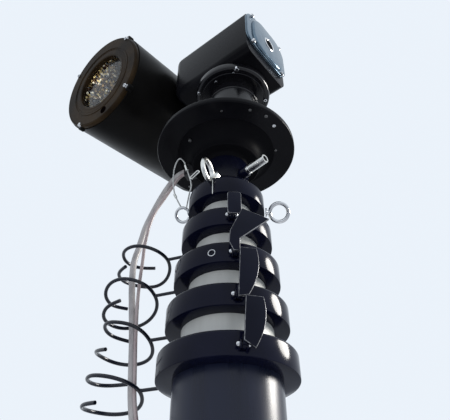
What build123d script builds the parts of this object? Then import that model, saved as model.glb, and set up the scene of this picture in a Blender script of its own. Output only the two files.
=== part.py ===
from build123d import *
import os
from math import cos, radians, sin, tan

# Telescopic light tower: six nested tubes on a bolted base plate, with a collar
# and a latch lever at each step, helical cable guides, a round platform, and a
# pan and tilt head that carries one large lamp at its side.
# Millimetres, +Z up, origin on the underside of the base plate at the mast axis.

# Mast sections
section_count = 6
tube_1_diameter = 171.45
tube_step = 19.05
tube_wall = 4.8
running_gap = 0.4
seat_gap = 0.3
section_travel = 1450.0
floor_thickness = 10.0
floor_lip = 12.0
guide_ring_height = 30.0

# Collars
collar_1_height = 1870.0
collar_pitch = 82.0
collar_height = 40.0
collar_reach = 26.0
collar_shoulder = 6.0
collar_lip = 12.0
collar_edge = 1.0

# Base plate
plate_diameter = 420.0
plate_thickness = 20.0
base_bolt_count = 8
base_bolt_circle = 350.0
base_bolt_hole = 18.0
boss_height = 70.0
boss_wall = 16.0
rib_count = 8
rib_thickness = 10.0
rib_reach = 42.0
rib_height = 62.0
rib_toe = 8.0

# Latch levers and their pivots
lever_azimuths = (-79.5, -81.5, -82.0, -84.5)
lever_pivot_height = 13.0
lever_pivot_reach = 9.0
lever_thickness = 4.0
knuckle_radius = 7.0
knuckle_width = 6.0
lever_pin_radius = 3.0
lever_pin_gap = 0.05
ear_gap = 0.6
ear_width = 2.5
blade_reach = 2.0
pin_head_radius = 4.0
pin_head_offset = 1.0

# Blade of each lever, across and up from its pivot: the two long ones, the paddle and the short one
blade_top_left = 2.5
blade_top_right = 28.5
blade_middle = 40.0
blade_belly = 29.5
blade_low_right = 14.0
blade_low_left = -2.0
blade_tops = (69.5, 76.5)
blade_slope = 1.0
blade_toes = (-10.0, -6.5)
blade_heels = (1.0, -9.7)
paddle_top = (10.4, 80.4)
paddle_tip = (56.2, 61.5)
paddle_waist = (5.7, 17.7)
paddle_side = (-10.6, 32.1)
stem_side = (-12.5, 10.2)
stem_low = -6.0
stem_wide = 5.2
stem_narrow = -5.0
short_blade_left = -8.3
short_blade_low = -6.0
short_blade_wide = 24.0
short_blade_tall = 47.5
short_blade_corner = 5.0

# Helical cable guides
guide_rod_diameter = 6.0
guide_azimuth = 161.0
guide_centres = (198.5, 187.0, 187.0, 166.0)
guide_rod_heights = (9.0, 12.0, 16.0, 8.0)
guide_low_radii = (47.5, 48.5, 46.5, 47.7)
guide_high_radii = (46.5, 41.0, 48.3, 44.9)
guide_corner_stretch = 1.02
guide_weld_radius = 4.0

# Supply leads, their clips on the base tube and their glands
thick_lead_diameter = 12.5
thin_lead_diameter = 6.5
thick_lead_low = 124.0
thin_lead_low = 110.0
thick_lead_radials = (165.0, 176.0, 187.0, 195.0, 187.0, 182.0)
thin_lead_radials = (157.0, 167.5, 173.0, 172.0, 172.0, 169.0)
lead_shift = 2.5
lead_lean = 230.0
lead_level_rise = 11.0
lead_rise = 15.0
lead_bend_rise = 50.0
lead_turn_drop = 5.0
lead_overrun = 12.0
lead_hole_gap = 0.3
clip_drops = (1470.0, 870.0, 370.0)
clip_width = 30.0
clip_height = 16.0
clip_margin = 6.0
gland_height = 18.0
gland_wall = 0.6
hub_gland_width = 20.0
hub_gland_height = 30.0
hub_gland_reach = 92.0
thick_lead_entry = 21.0
thin_lead_entry = 9.0

# Eye bolts on the top collar
eye_right_azimuth = 0.0
eye_right_radius = 17.2
eye_right_wire = 3.4
eye_right_shank = 13.0
eye_right_height = 8.0
eye_left_azimuth = 160.0
eye_left_radius = 14.0
eye_left_wire = 3.0
eye_left_shank = 8.0
eye_left_height = 29.0
eye_roll = 39.0
eye_sink = 2.0
eye_shank_radius = 5.5

# Lock pins on the neck and the wire lanyard at the left eye bolt
tube_pin_azimuth = -45.0
ring_pin_azimuth = -115.0
lock_pin_rise = 35.5
ring_pin_rise = 13.0
tube_pin_radius = 8.0
tube_pin_bore = 4.5
tube_pin_length = 46.0
pin_boss_radius = 11.0
pin_boss_length = 16.0
hex_across = 16.0
pull_ring_radius = 21.0
pull_ring_wire = 3.0
pull_ring_reach = 91.5
plunger_radius = 4.0
lanyard_diameter = 2.5
lanyard_lead_in = 22.0

# Neck, platform and pedestal
neck_radius = 46.0
neck_clearance = 6.0
neck_length = 83.0
hub_radius = 70.0
hub_chamfer = 8.0
hub_rim = 4.0
hub_flare = 33.0
platform_radius = 146.8
platform_thickness = 13.0
pedestal_radius = 59.0
pedestal_height = 147.0
pedestal_foot_reach = 12.0
pedestal_foot_height = 8.0
pedestal_foot_slope = 4.0
pedestal_edge = 4.0
pan_axis_x = 18.0
pan_axis_y = -4.0

# Pan head and its tilt housing
turntable_gap = 0.3
spindle_radius = 50.0
spindle_height = 24.0
turntable_radius = 87.0
turntable_thickness = 22.0
housing_length = 227.0
housing_width = 152.0
housing_height = 151.4
housing_corner = 22.0
housing_edge = 14.0
housing_yaw = -38.0
housing_slide = -12.0
housing_shift = -5.0
cap_thickness = 6.0
cap_edge = 1.5
cap_drop = 30.0
cap_corner = 34.0
dome_thickness = 6.0
dome_width = 123.6
dome_height = 113.6
dome_corner = 40.0
dome_shift = -2.0
dome_rise = 15.0
dome_edge = 4.0
port_radius = 13.7
port_depth = 10.0
port_ring_radius = 19.2
port_ring_height = 1.5

# Lamp
lamp_radius = 129.5
lamp_front = 201.0
lamp_back = 212.0
lamp_tilt = -8.5
lamp_wall = 4.0
lamp_gap = 6.0
tilt_axis_rise = 11.5
tilt_spindle_radius = 24.0
spindle_gap = 0.05
spindle_depth = 20.0
spindle_end_gap = 1.0
bezel_step = 2.5
bezel_depth = 10.0
bezel_edge = 5.0
lip_radius = 73.0
lip_edge = 1.5
groove_radius = 96.3
groove_width = 2.0
groove_depth = 1.5
glass_radius = 82.0
glass_thickness = 5.0
glass_wall = 4.0
glass_pocket = 17.0
reflector_gap = 2.0
reflector_eye = 14.0
reflector_depth = 90.0
reflector_wall = 1.5
reflector_steps = 10
rear_cover_depth = 30.0
rear_cover_flat = 18.0
rear_cover_shoulder = 14.0


def tube_radius(n):
    return (tube_1_diameter - (n - 1) * tube_step) / 2


def tube_bottom(n):
    if n == 1:
        return plate_thickness
    return plate_thickness + seat_gap + (n - 2) * (floor_thickness + seat_gap)


def collar_radius(n):
    return tube_radius(n) + collar_reach


def collar_bottom(n):
    return collar_1_height + (n - 1) * collar_pitch


def tube_top(n):
    return collar_bottom(n) + collar_height - collar_lip


collar_count = section_count - 1
neck_bottom = collar_bottom(collar_count) + collar_height + neck_clearance
hub_bottom = neck_bottom + neck_length
hub_rise = hub_bottom - collar_1_height
platform_bottom = hub_bottom + hub_rim + hub_flare + collar_edge
platform_top = platform_bottom + platform_thickness
pedestal_top = platform_top + pedestal_height
turntable_bottom = pedestal_top + turntable_gap + spindle_height
housing_bottom = turntable_bottom + turntable_thickness
housing_middle = housing_bottom + housing_height / 2
tilt_axis_height = housing_middle + tilt_axis_rise
bezel_radius = lamp_radius - bezel_step


def save(name, shape):
    """Write one named piece."""
    os.makedirs("parts", exist_ok=True)
    shape.label = name
    export_step(shape, f"parts/{name}.step")


def turned(points):
    """Solid of revolution about the Z axis from an outline of (radius, height) points."""
    with BuildPart() as part:
        with BuildSketch(Plane.XZ):
            with BuildLine():
                Polyline(*points, close=True)
            make_face()
        revolve(axis=Axis.Z)
    return part.part


def bend_radii(points):
    """Radius of the arc at each corner of a path of straight runs."""
    radii = []
    for before, here, after in zip(points, points[1:], points[2:]):
        come = here - before
        go = after - here
        half_turn = radians(come.get_angle(go)) / 2
        radii.append(0.45 * min(come.length, go.length) / tan(half_turn))
    return radii


def round_wire(points, diameter):
    """Round bar along straight runs that are joined by tangent arcs."""
    with BuildPart() as part:
        with BuildLine() as line:
            if len(points) > 2:
                FilletPolyline(*points, radius=bend_radii(points))
            else:
                Line(*points)
        wire = line.wire()
        with BuildSketch(Plane(origin=wire @ 0, z_dir=wire % 0)):
            Circle(diameter / 2)
        sweep()
    return part.part


def at(shape, x=0.0, y=0.0, z=0.0, turn=0.0):
    """Copy of a shape turned about Z and then moved."""
    return Location((x, y, z), (0, 0, turn)) * shape


# Base plate with its boss, ribs and bolt holes
def base_plate():
    boss_bore = tube_radius(1)
    boss_radius = boss_bore + boss_wall
    top = plate_thickness
    plate = turned([
        (0, 0),
        (plate_diameter / 2, 0),
        (plate_diameter / 2, top),
        (boss_radius, top),
        (boss_radius, top + boss_height),
        (boss_bore, top + boss_height),
        (boss_bore, top),
        (0, top),
    ])
    outline = Polyline(
        (boss_radius - 1, 0, top),
        (boss_radius + rib_reach, 0, top),
        (boss_radius + rib_reach, 0, top + rib_toe),
        (boss_radius, 0, top + rib_height),
        (boss_radius - 1, 0, top + rib_height),
        close=True,
    )
    rib = extrude(make_face(outline), rib_thickness / 2, both=True)
    hole = at(Cylinder(base_bolt_hole / 2, 3 * top), x=base_bolt_circle / 2)
    for k in range(rib_count):
        plate += at(rib, turn=360 * k / rib_count)
    for k in range(base_bolt_count):
        angle = 360 * (k + 0.5) / base_bolt_count
        plate -= Location((0, 0, 0), (0, 0, angle)) * hole
    return plate


# Tube of one section, with its floor lip and the rings that guide it in the next tube out
def tube(n):
    outer = tube_radius(n)
    inner = outer - tube_wall
    low = tube_bottom(n)
    high = tube_top(n) if n < section_count else platform_bottom
    if n == 1:
        return turned([(inner, low), (outer, low), (outer, high), (inner, high)])
    ring = tube_radius(n - 1) - tube_wall - running_gap
    lip = inner - floor_lip
    stop = tube_top(n - 1) - section_travel - seat_gap
    return turned([
        (lip, low),
        (ring, low),
        (ring, low + guide_ring_height),
        (outer, low + guide_ring_height),
        (outer, stop - guide_ring_height),
        (ring, stop - guide_ring_height),
        (ring, stop),
        (outer, stop),
        (outer, high),
        (inner, high),
        (inner, low + floor_thickness),
        (lip, low + floor_thickness),
    ])


# Frame on a collar's face at the lever: X runs round the collar, Y up, Z outward
def lever_plane(n):
    angle = radians(lever_azimuths[n - 1])
    reach = collar_radius(n) + lever_pivot_reach
    origin = (reach * cos(angle), reach * sin(angle), collar_bottom(n) + lever_pivot_height)
    return Plane(origin=origin, x_dir=(-sin(angle), cos(angle), 0), z_dir=(cos(angle), sin(angle), 0))


# Collar that crowns one tube, with its bore, shoulder and, below the top one, the lever's ears
def collar(n):
    outer = collar_radius(n)
    low = collar_bottom(n)
    high = low + collar_height
    bore = tube_radius(n + 1) + running_gap
    ring = turned([
        (tube_radius(n), low),
        (outer - collar_edge, low),
        (outer, low + collar_edge),
        (outer, high - collar_shoulder),
        (outer - 0.3 * collar_shoulder, high - 0.3 * collar_shoulder),
        (outer - collar_shoulder, high),
        (bore, high),
        (bore, high - collar_lip),
        (tube_radius(n), high - collar_lip),
    ])
    if n == collar_count:
        return ring
    plane = lever_plane(n)
    offset = knuckle_width / 2 + ear_gap + ear_width / 2
    for side in (-1, 1):
        ear = Box(ear_width, 2 * knuckle_radius, 2 * lever_pivot_reach)
        nose = Rotation(0, 90, 0) * Cylinder(knuckle_radius, ear_width)
        eye = Rotation(0, 90, 0) * Cylinder(lever_pin_radius, 2 * ear_width)
        shape = Location((0, 0, -lever_pivot_reach)) * ear + nose - eye
        ring += plane.location * Location((side * offset, 0, 0)) * shape
    return ring


# Chrome pivot pin of a lever, with a round head at each end
def lever_pin(n):
    half = knuckle_width / 2 + ear_gap + ear_width
    rod = Rotation(0, 90, 0) * Cylinder(lever_pin_radius, 2 * half)
    cut = 4 * pin_head_radius
    for side in (-1, 1):
        head = Location((side * (half + pin_head_offset), 0, 0)) * Sphere(pin_head_radius)
        head -= Location((side * (half - cut / 2), 0, 0)) * Box(cut, cut, cut)
        rod += head
    return lever_plane(n).location * rod


# Outline of each lever's blade beside its knuckle: X round the collar, Y up from the pivot
def blade_outline(n):
    if n == 3:
        return [
            Polyline(
                (stem_narrow, stem_low),
                stem_side,
                paddle_side,
                paddle_top,
                paddle_tip,
                paddle_waist,
                (stem_wide, stem_low),
                (stem_narrow, stem_low),
            ),
        ]
    top_left = (blade_top_left, blade_tops[n - 1])
    top_right = (blade_top_right, blade_tops[n - 1] - blade_slope)
    toe = (blade_low_right, blade_toes[n - 1])
    heel = (blade_low_left, blade_heels[n - 1])
    return [
        Line(heel, top_left),
        Line(top_left, top_right),
        ThreePointArc(top_right, (blade_belly, blade_middle), toe),
        Line(toe, heel),
    ]


# Latch lever: a blade that stands over the next collar's face, on a knuckle round its pin
def latch_lever(n):
    back = knuckle_radius + blade_reach
    with BuildPart() as part:
        with BuildSketch(Plane.XY.offset(back)):
            if n < 4:
                with BuildLine():
                    for edge in blade_outline(n):
                        add(edge)
                make_face()
            else:
                middle = (short_blade_left + short_blade_wide / 2, short_blade_low + short_blade_tall / 2)
                with Locations(middle):
                    RectangleRounded(short_blade_wide, short_blade_tall, short_blade_corner)
        extrude(amount=lever_thickness)
        with Locations((0, knuckle_radius / 2, back / 2)):
            Box(knuckle_width, 2 * knuckle_radius, back)
        with Locations(Rotation(0, 90, 0)):
            Cylinder(knuckle_radius, knuckle_width)
            Cylinder(lever_pin_radius + lever_pin_gap, 4 * knuckle_width, mode=Mode.SUBTRACT)
    return lever_plane(n).location * part.part


# Route of each coil's wire: angle from the rod's weld, clockwise from above, and height over the rod
coil_routes = (
    (
        (-269, -28), (-240, -25), (-210, -23), (-180, -20), (-150, -18), (-120, -18), (-90, -17),
        (-60, -15), (-30, -8), (0, 0), (30, 5), (60, 10), (90, 15), (120, 20), (150, 22), (180, 24),
        (210, 27), (240, 31), (265, 33),
    ),
    (
        (-261, -28), (-232, -22), (-203, -17), (-174, -14), (-145, -16), (-116, -18), (-87, -18),
        (-58, -15), (-29, -9), (0, 0), (30, 11), (60, 18), (90, 23), (120, 28), (150, 30), (180, 28),
        (212, 26), (245, 24),
    ),
    (
        (-277, -26), (-248, -28), (-219, -33), (-190, -36), (-160, -37), (-130, -36), (-100, -31),
        (-72, -24), (-45, -15), (-22, -7), (0, 0), (27, 9), (55, 14), (82, 18), (110, 18), (138, 14),
        (160, 7), (186, 4), (208, 5), (232, 7),
    ),
    (
        (-253, -30), (-228, -29), (-200, -27), (-170, -25), (-140, -22), (-110, -23), (-82, -23),
        (-55, -17), (-28, -7), (0, 0), (30, 4), (60, 9), (90, 14), (120, 16), (150, 18), (180, 16),
        (210, 17), (240, 19), (266, 19),
    ),
)
coil_blend_low = -60.0
coil_blend_high = 90.0


# Radius of a coil's wire, which goes from the low turn's to the high turn's past the weld
def coil_radius(n, angle):
    share = (angle - coil_blend_low) / (coil_blend_high - coil_blend_low)
    share = min(1, max(0, share))
    return guide_low_radii[n - 1] * (1 - share) + guide_high_radii[n - 1] * share


# Helical cable guide: a rod out of the collar, welded to a wire that winds round the leads
def guide_coil(n):
    centre = guide_centres[n - 1]
    points = []
    for angle, height in coil_routes[n - 1]:
        turn = radians(angle)
        radius = coil_radius(n, angle) * guide_corner_stretch
        points.append(Vector(-radius * cos(turn), radius * sin(turn), height))
    coil = round_wire(points, guide_rod_diameter)
    weld_radius = coil_radius(n, 0)
    length = centre - weld_radius - collar_radius(n)
    rod = Rotation(0, 90, 0) * Cylinder(guide_rod_diameter / 2, length)
    rod = Location((-weld_radius - length / 2, 0, 0)) * rod
    weld = Location((-weld_radius, 0, 0)) * Sphere(guide_weld_radius)
    guide = coil + rod + weld
    spot = Location((0, 0, collar_bottom(n) + guide_rod_heights[n - 1]), (0, 0, guide_azimuth))
    return spot * Location((centre, 0, 0)) * guide


def guide_level(n):
    return collar_bottom(n) + lead_level_rise


# Heights at which the leads pass from one section's run to the next
lead_bend = collar_bottom(4) + lead_bend_rise
lead_turn = collar_bottom(5) - lead_turn_drop
run_levels = (
    collar_1_height - lead_rise,
    guide_level(2),
    guide_level(3),
    guide_level(4),
    lead_bend,
    lead_turn,
)

# Each supply lead: diameter, place beside the mast's radius, low run, runs, and the last points to the hub
leads = (
    (
        thick_lead_diameter,
        -lead_shift,
        thick_lead_low,
        thick_lead_radials,
        ((178, 347), (161, 390), (142, 432), (112, hub_rise + thick_lead_entry)),
        hub_bottom + thick_lead_entry,
    ),
    (
        thin_lead_diameter,
        lead_shift,
        thin_lead_low,
        thin_lead_radials,
        ((166.6, 344), (156, 381), (138, 408), (122, 435), (104, hub_rise + thin_lead_entry)),
        hub_bottom + thin_lead_entry,
    ),
)


# Run of both leads that one mast section carries, in the plane through the guides
def supply_leads(n):
    runs = []
    for diameter, shift, low, radials, last_points, entry in leads:
        if n == 1:
            path = [
                (low, plate_thickness + gland_height),
                (low, collar_1_height - lead_lean),
                (radials[0], run_levels[0]),
                (radials[1], run_levels[1]),
            ]
        elif n < section_count:
            path = [(radials[n - 1], run_levels[n - 1]), (radials[n], run_levels[n])]
        else:
            path = [(radials[-1], lead_turn)]
            path += [(radial, collar_1_height + height) for radial, height in last_points]
            path += [(hub_gland_reach, entry)]
        points = [Vector(radial, shift, height) for radial, height in path]
        start = points[0].Z
        end = platform_bottom
        if n > 1:
            points[0] += (points[0] - points[1]).normalized() * lead_overrun
        if n < section_count:
            end = points[-1].Z
            points[-1] += (points[-1] - points[-2]).normalized() * lead_overrun
        slab = at(Box(plate_diameter, plate_diameter, end - start), z=(start + end) / 2)
        runs.append(at(round_wire(points, diameter) & slab, turn=guide_azimuth))
    return Compound(children=runs)


# Saddle clips that hold the leads on the base tube
def lead_clips():
    outer = thick_lead_low + thick_lead_diameter / 2 + clip_margin
    clips = []
    for drop in clip_drops:
        height = collar_1_height - drop
        block = Location((outer / 2, 0, height)) * Box(outer, clip_width, clip_height)
        block -= at(Cylinder(tube_radius(1), 2 * clip_height), z=height)
        for diameter, shift, low, radials, last_points, entry in leads:
            hole = Cylinder(diameter / 2 + lead_hole_gap, 2 * clip_height)
            block -= at(hole, low, shift, height)
        clips.append(at(block.solids().sort_by(Axis.X)[-1], turn=guide_azimuth))
    return Compound(children=clips)


# Glands on the base plate where the leads end
def base_glands():
    glands = []
    for diameter, shift, low, radials, last_points, entry in leads:
        body = Cylinder(diameter / 2 + gland_wall, gland_height)
        body = at(body, low, shift, plate_thickness + gland_height / 2)
        glands.append(at(body, turn=guide_azimuth))
    return Compound(children=glands)


# Gland block on the hub where the leads enter the head
def hub_gland():
    block = Box(hub_gland_reach, hub_gland_width, hub_gland_height)
    block = Location((hub_gland_reach / 2, 0, hub_bottom + hub_gland_height / 2)) * block
    core = at(Cylinder(neck_radius, 2 * hub_gland_height), z=hub_bottom)
    block = at(block, turn=guide_azimuth) - neck_hub() - core
    return block.solids().sort_by(Axis.X)[0]


# Frame of an eye's ring: X away from the mast, Y through the ring, Z up in its plane
def eye_place(azimuth, radius, shank, height):
    reach = collar_radius(collar_count) + shank + radius - eye_sink
    roll = eye_roll if cos(radians(azimuth)) > 0 else -eye_roll
    level = Location((0, 0, collar_bottom(collar_count) + height), (0, 0, azimuth))
    return level * Location((reach, 0, 0), (roll, 0, 0))


# Eye bolt screwed into the top collar
def eye_bolt(azimuth, radius, wire, shank, height):
    eye = Rotation(90, 0, 0) * Torus(radius, wire)
    stem = Rotation(0, 90, 0) * Cylinder(eye_shank_radius, shank)
    bolt = eye + Location((eye_sink - radius - shank / 2, 0, 0)) * stem
    collar_body = Cylinder(collar_radius(collar_count), collar_height)
    collar_body = at(collar_body, z=collar_bottom(collar_count) + collar_height / 2)
    return eye_place(azimuth, radius, shank, height) * bolt - collar_body


# Neck sleeve and hub flange that clamp the platform to the innermost tube
def neck_hub():
    inner = tube_radius(section_count)
    top = platform_bottom - collar_edge
    flare_start = (hub_radius, hub_bottom + hub_rim)
    flare_end = (hub_radius + hub_flare, top)
    flare_middle = (hub_radius + hub_flare * (1 - cos(radians(45))), top - hub_flare * (1 - sin(radians(45))))
    with BuildPart() as part:
        with BuildSketch(Plane.XZ):
            with BuildLine():
                Polyline(
                    flare_end,
                    (hub_radius + hub_flare, platform_bottom),
                    (inner, platform_bottom),
                    (inner, neck_bottom),
                    (neck_radius - collar_edge, neck_bottom),
                    (neck_radius, neck_bottom + collar_edge),
                    (neck_radius, hub_bottom - hub_chamfer),
                    (neck_radius + hub_chamfer, hub_bottom),
                    (hub_radius, hub_bottom),
                    flare_start,
                )
                ThreePointArc(flare_start, flare_middle, flare_end)
            make_face()
        revolve(axis=Axis.Z)
    return part.part


# Place on the neck's face at an azimuth: X outward, Z up
def neck_place(azimuth, rise):
    return Location((0, 0, neck_bottom + rise), (0, 0, azimuth))


# Hollow chrome lock pin in its boss
def tube_pin():
    boss = Rotation(0, 90, 0) * Cylinder(pin_boss_radius, pin_boss_length)
    boss = Location((neck_radius - 1 + pin_boss_length / 2, 0, 0)) * boss
    tube_low = neck_radius + pin_boss_length - 1
    body = Rotation(0, 90, 0) * Cylinder(tube_pin_radius, tube_pin_length)
    body = Location((tube_low + tube_pin_length / 2, 0, 0)) * body
    bore = Rotation(0, 90, 0) * Cylinder(tube_pin_bore, 2 * (tube_pin_length - tube_pin_radius))
    bore = Location((tube_low + tube_pin_length, 0, 0)) * bore
    neck_core = Cylinder(neck_radius, 4 * pin_boss_radius)
    shape = boss + body - bore - neck_core
    return neck_place(tube_pin_azimuth, lock_pin_rise) * shape


# Spring plunger with its pull ring
def ring_pin():
    stem = RegularPolygon(hex_across / 2, 6, major_radius=False)
    stem = Plane.YZ * stem
    body = Location((neck_radius - 1, 0, 0)) * extrude(stem, pin_boss_length)
    body -= Cylinder(neck_radius, 4 * hex_across)
    ring = Rotation(90, 0, 0) * Torus(pull_ring_radius, pull_ring_wire)
    ring = Location((pull_ring_reach, 0, 0)) * ring
    plunger_length = pull_ring_reach - pull_ring_radius - neck_radius
    plunger = Rotation(0, 90, 0) * Cylinder(plunger_radius, plunger_length)
    body += Location((neck_radius + plunger_length / 2, 0, 0)) * plunger
    return neck_place(ring_pin_azimuth, ring_pin_rise) * (body + ring)


# Wire rope lanyard that loops from the left eye up past the ring pin and back to the eye
def lanyard():
    place = eye_place(eye_left_azimuth, eye_left_radius, eye_left_shank, eye_left_height)
    touch = eye_left_wire + seat_gap
    side = eye_left_radius * sin(radians(45))
    leave = Vector(-0.5, sin(radians(45)), 0.5)
    end = Vector(-side, 0, side) + leave * touch
    points = [
        (place * Location((0, 0, eye_left_radius + touch))).position,
        Vector(-105, 14, collar_1_height + 391),
        Vector(-109.5, 4, collar_1_height + 416),
        Vector(-108.5, -8, collar_1_height + 450),
        Vector(-98, -20, collar_1_height + 470),
        Vector(-85, -29, collar_1_height + 450),
        Vector(-75, -32, collar_1_height + 412),
        Vector(-67, -30, collar_1_height + 382),
        Vector(-71.5, -30, collar_1_height + 362),
        (place * Location(end + leave * lanyard_lead_in)).position,
        (place * Location(end)).position,
    ]
    return round_wire(points, lanyard_diameter)


# Round platform under the head
def platform():
    edge = 2.0
    return turned([
        (0, platform_bottom),
        (platform_radius - edge, platform_bottom),
        (platform_radius, platform_bottom + edge),
        (platform_radius, platform_top - edge),
        (platform_radius - edge, platform_top),
        (0, platform_top),
    ])


# Fixed pedestal of the pan unit
def pedestal():
    foot_radius = pedestal_radius + pedestal_foot_reach
    foot_top = platform_top + pedestal_foot_height
    body = turned([
        (0, platform_top),
        (foot_radius, platform_top),
        (foot_radius, foot_top),
        (pedestal_radius, foot_top + pedestal_foot_slope),
        (pedestal_radius, pedestal_top - pedestal_edge),
        (pedestal_radius - 0.3 * pedestal_edge, pedestal_top - 0.3 * pedestal_edge),
        (pedestal_radius - pedestal_edge, pedestal_top),
        (0, pedestal_top),
    ])
    return at(body, pan_axis_x, pan_axis_y)


# Turntable that carries the tilt housing and turns on the pedestal
def turntable():
    low = pedestal_top + turntable_gap
    edge = 3.0
    body = turned([
        (0, low),
        (spindle_radius, low),
        (spindle_radius, turntable_bottom),
        (turntable_radius - edge, turntable_bottom),
        (turntable_radius, turntable_bottom + edge),
        (turntable_radius, housing_bottom - edge),
        (turntable_radius - edge, housing_bottom),
        (0, housing_bottom),
    ])
    return at(body, pan_axis_x, pan_axis_y)


# Frame of the housing: X along the tilt axis toward the end cap, Z up
def housing_place():
    return Location((pan_axis_x, pan_axis_y, housing_middle), (0, 0, housing_yaw))


# Block along the tilt axis with a rounded section, from one distance to another on that axis
def block_along(start, end, wide, high, corner, shift, rise):
    section = Plane.YZ * RectangleRounded(wide, high, corner)
    return Location((start, shift, rise)) * extrude(section, end - start)


# Ends of the housing along the tilt axis, measured from the pan axis
lamp_end = housing_slide - housing_length / 2
cap_end = housing_slide + housing_length / 2
cap_face = cap_end + cap_thickness
dome_face = cap_face + dome_thickness


# Housing of the tilt drive, with a bore for the lamp's spindle
def tilt_housing():
    body = block_along(lamp_end, cap_end, housing_width, housing_height, housing_corner, housing_shift, 0)
    body = fillet(body.faces().sort_by(Axis.X)[0].edges(), housing_edge)
    bore = Rotation(0, 90, 0) * Cylinder(tilt_spindle_radius + spindle_gap, 2 * spindle_depth)
    body -= Location((lamp_end, 0, tilt_axis_rise)) * bore
    return housing_place() * body


# End cap: a flange over the upper part of the housing's end, with a raised face and a round port
def housing_cap():
    wide = housing_width + 2 * cap_edge
    high = housing_height + cap_edge - cap_drop
    flange = block_along(cap_end, cap_face, wide, high, cap_corner, housing_shift, (cap_drop + cap_edge) / 2)
    dome = block_along(cap_face, dome_face, dome_width, dome_height, dome_corner, dome_shift, dome_rise)
    dome = fillet(dome.faces().sort_by(Axis.X)[-1].edges(), dome_edge)
    ring_end = dome_face + port_ring_height
    ring = Rotation(0, 90, 0) * Cylinder(port_ring_radius, 2 * port_ring_height)
    port = Rotation(0, 90, 0) * Cylinder(port_radius, 2 * port_depth)
    cap = flange + dome + Location((dome_face, dome_shift, dome_rise)) * ring
    cap -= Location((ring_end, dome_shift, dome_rise)) * port
    return housing_place() * cap


# Frame of the lamp: origin where its axis crosses the tilt axis, Z along its beam, X along the tilt axis
def lamp_plane():
    yaw = radians(housing_yaw)
    along = (cos(yaw), sin(yaw))
    ahead = (sin(yaw), -cos(yaw))
    reach = lamp_end - lamp_gap - lamp_radius
    origin = (pan_axis_x + reach * along[0], pan_axis_y + reach * along[1], tilt_axis_height)
    tilt = radians(lamp_tilt)
    beam = (ahead[0] * cos(tilt), ahead[1] * cos(tilt), sin(tilt))
    return Plane(origin=origin, x_dir=(along[0], along[1], 0), z_dir=beam)


# Lamp body: an open drum with a closed back
def lamp_body():
    inner = lamp_radius - lamp_wall
    drum = turned([
        (inner, -lamp_back + rear_cover_depth),
        (lamp_radius, -lamp_back + rear_cover_depth),
        (lamp_radius, lamp_front - bezel_depth),
        (inner, lamp_front - bezel_depth),
    ])
    return lamp_plane().location * drum


# Front ring with a thin groove, and the pocket behind its lip that holds the glass
def lamp_bezel():
    back = lamp_front - bezel_depth
    pocket = lamp_front - glass_pocket
    ring = turned([
        (lip_radius, back),
        (lip_radius, lamp_front - lip_edge),
        (lip_radius + lip_edge, lamp_front),
        (groove_radius - groove_width / 2, lamp_front),
        (groove_radius - groove_width / 2, lamp_front - groove_depth),
        (groove_radius + groove_width / 2, lamp_front - groove_depth),
        (groove_radius + groove_width / 2, lamp_front),
        (bezel_radius - bezel_edge, lamp_front),
        (bezel_radius - 0.3 * bezel_edge, lamp_front - 0.3 * bezel_edge),
        (bezel_radius, lamp_front - bezel_edge),
        (bezel_radius, back),
        (glass_radius + glass_wall, back),
        (glass_radius + glass_wall, pocket),
        (glass_radius, pocket),
        (glass_radius, back),
    ])
    return lamp_plane().location * ring


# Front glass seated behind the ring's lip
def lamp_glass():
    top = lamp_front - bezel_depth
    low = top - glass_thickness
    pane = turned([(0, low), (glass_radius, low), (glass_radius, top), (0, top)])
    return lamp_plane().location * pane


# Bowl reflector behind the glass
def lamp_reflector():
    mouth = lamp_front - glass_pocket
    mouth_radius = glass_radius - reflector_gap
    outer = []
    inner = []
    for k in range(reflector_steps + 1):
        radius = reflector_eye + (mouth_radius - reflector_eye) * k / reflector_steps
        height = mouth - reflector_depth * (1 - (radius / mouth_radius) ** 2)
        outer.append((radius + reflector_wall, height))
        inner.append((radius, height))
    return lamp_plane().location * turned(outer + inner[::-1])


# Domed rear cover
def lamp_rear_cover():
    back = -lamp_back
    inside = lamp_radius - lamp_wall
    cover = turned([
        (0, back),
        (lamp_radius - rear_cover_flat, back),
        (lamp_radius, back + rear_cover_shoulder),
        (lamp_radius, back + rear_cover_depth),
        (inside, back + rear_cover_depth),
        (inside, back + rear_cover_shoulder + lamp_wall / 2),
        (inside - rear_cover_flat + lamp_wall / 2, back + lamp_wall),
        (0, back + lamp_wall),
    ])
    return lamp_plane().location * cover


# Spindle that joins the lamp to the tilt housing
def tilt_spindle():
    end = lamp_radius + lamp_gap + spindle_depth - spindle_end_gap
    shaft = Rotation(0, 90, 0) * Cylinder(tilt_spindle_radius, end)
    shaft = Location((end / 2, 0, 0)) * shaft
    shaft -= Cylinder(lamp_radius, 4 * tilt_spindle_radius)
    return lamp_plane().location * shaft.solids().sort_by(Axis.X)[-1]


# All pieces, from the ground up
save("base_plate", base_plate())
for n in range(1, section_count + 1):
    save("base_tube" if n == 1 else f"tube_{n}", tube(n))
for n in range(1, collar_count + 1):
    save(f"collar_{n}", collar(n))
for n in range(1, collar_count):
    save(f"lever_pin_{n}", lever_pin(n))
    save(f"latch_lever_{n}", latch_lever(n))
    save(f"cable_guide_{n}", guide_coil(n))
save(
    "eye_bolt_right",
    eye_bolt(eye_right_azimuth, eye_right_radius, eye_right_wire, eye_right_shank, eye_right_height),
)
save(
    "eye_bolt_left",
    eye_bolt(eye_left_azimuth, eye_left_radius, eye_left_wire, eye_left_shank, eye_left_height),
)
save("neck_hub", neck_hub())
save("tube_pin", tube_pin())
save("ring_pin", ring_pin())
save("lanyard", lanyard())
save("lead_clips", lead_clips())
save("base_glands", base_glands())
save("hub_gland", hub_gland())
for n in range(1, section_count + 1):
    save(f"supply_leads_{n}", supply_leads(n))
save("platform", platform())
save("pedestal", pedestal())
save("turntable", turntable())
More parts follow.
